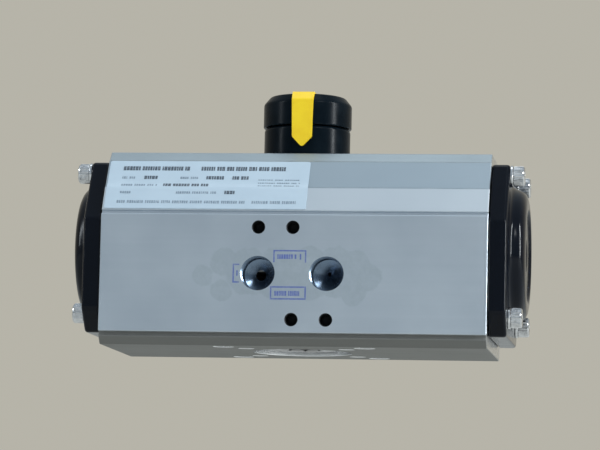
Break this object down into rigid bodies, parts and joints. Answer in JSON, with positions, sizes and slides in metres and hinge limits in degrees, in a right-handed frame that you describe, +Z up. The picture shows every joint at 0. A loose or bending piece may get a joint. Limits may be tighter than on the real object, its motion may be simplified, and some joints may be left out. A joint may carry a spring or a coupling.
{
  "type": "rotary pneumatic actuator",
  "caption": "Rack-and-pinion rotary pneumatic actuator: a long eight-sided cylinder body with domed end caps, air ports on its front face, a drive socket below and a position indicator on top.",
  "frame": {"origin": "on the output shaft's axis, in the body's flat bottom face that bolts to the valve", "axes": "+X along the cylinder bore, -Y out of the front face with the air ports, +Z up along the output shaft towards the position indicator"},
  "size_m": [0.159, 0.0764, 0.0931],
  "materials": {
    "anodised_body": "silver anodised, matte extrusion",
    "black_paint": "gloss black powder paint",
    "cast_aluminium": "as cast and machined",
    "bare_steel": "machined steel, lightly oiled",
    "stainless": "bright stainless fasteners",
    "seal_rubber": "matte black nitrile",
    "black_plastic": "moulded, semi-matte",
    "yellow_plastic": "moulded yellow",
    "bearing_plastic": "machined acetal",
    "label_foil": "pale blue-white printed foil"
  },
  "bodies": {
    "housing": {"cylinder_body": "anodised_body", "label": "label_foil", "left_end_cap": "black_paint", "left_cap_screw_1": "stainless", "left_cap_washer_1": "stainless", "left_cap_screw_2": "stainless", "left_cap_washer_2": "stainless", "left_cap_screw_3": "stainless", "left_cap_washer_3": "stainless", "left_cap_screw_4": "stainless", "left_cap_washer_4": "stainless", "left_cap_oring": "seal_rubber", "left_channel_seal": "seal_rubber", "right_end_cap": "black_paint", "right_cap_screw_1": "stainless", "right_cap_washer_1": "stainless", "right_cap_screw_2": "stainless", "right_cap_washer_2": "stainless", "right_cap_screw_3": "stainless", "right_cap_washer_3": "stainless", "right_cap_screw_4": "stainless", "right_cap_washer_4": "stainless", "right_cap_oring": "seal_rubber", "right_channel_seal": "seal_rubber", "bottom_bearing": "bearing_plastic", "top_bearing": "bearing_plastic", "closed_stop_nut": "stainless", "closed_stop_washer": "stainless", "closed_stop_oring": "seal_rubber", "open_stop_nut": "stainless", "open_stop_washer": "stainless", "open_stop_oring": "seal_rubber"},
    "output_shaft": {"drive_pinion": "bare_steel", "stop_cam": "bare_steel", "bottom_shaft_oring": "seal_rubber", "top_shaft_oring": "seal_rubber", "inner_thrust_washer": "bearing_plastic", "outer_thrust_washer": "bearing_plastic", "steel_washer": "stainless", "retaining_ring": "bare_steel", "indicator_base": "black_plastic", "indicator_cap": "black_plastic", "indicator_pointer": "yellow_plastic", "indicator_screw": "stainless"},
    "right_piston": {"right_piston": "cast_aluminium", "right_piston_guide_band": "bearing_plastic", "right_piston_oring": "seal_rubber", "right_piston_pad": "bearing_plastic"},
    "left_piston": {"left_piston": "cast_aluminium", "left_piston_guide_band": "bearing_plastic", "left_piston_oring": "seal_rubber", "left_piston_pad": "bearing_plastic"},
    "closed_stop": {"closed_stop_screw": "stainless"},
    "open_stop": {"open_stop_screw": "stainless"}
  },
  "joints": [
    {"name": "right_piston_slide", "type": "slide", "parent": "housing", "child": "right_piston", "axis": [1, 0, 0], "range_m": [0, 0.01571]},
    {"name": "output_shaft_turn", "type": "hinge", "parent": "housing", "child": "output_shaft", "pos_m": [0, 0, 0.035], "axis": [0, 0, 1], "range_deg": [0, 90]},
    {"name": "left_piston_slide", "type": "slide", "parent": "housing", "child": "left_piston", "axis": [-1, 0, 0], "range_m": [0, 0.0158]},
    {"name": "closed_stop_screw_out", "type": "slide", "parent": "housing", "child": "closed_stop", "axis": [0, 1, 0], "range_m": [0, 0.0014]},
    {"name": "open_stop_screw_out", "type": "slide", "parent": "housing", "child": "open_stop", "axis": [0, 1, 0], "range_m": [0, 0.0014]}
  ],
  "couplings": [
    {"joint": "output_shaft_turn", "follows": "right_piston_slide", "rad_per_m": 100},
    {"joint": "left_piston_slide", "follows": "right_piston_slide", "ratio": 1}
  ]
}
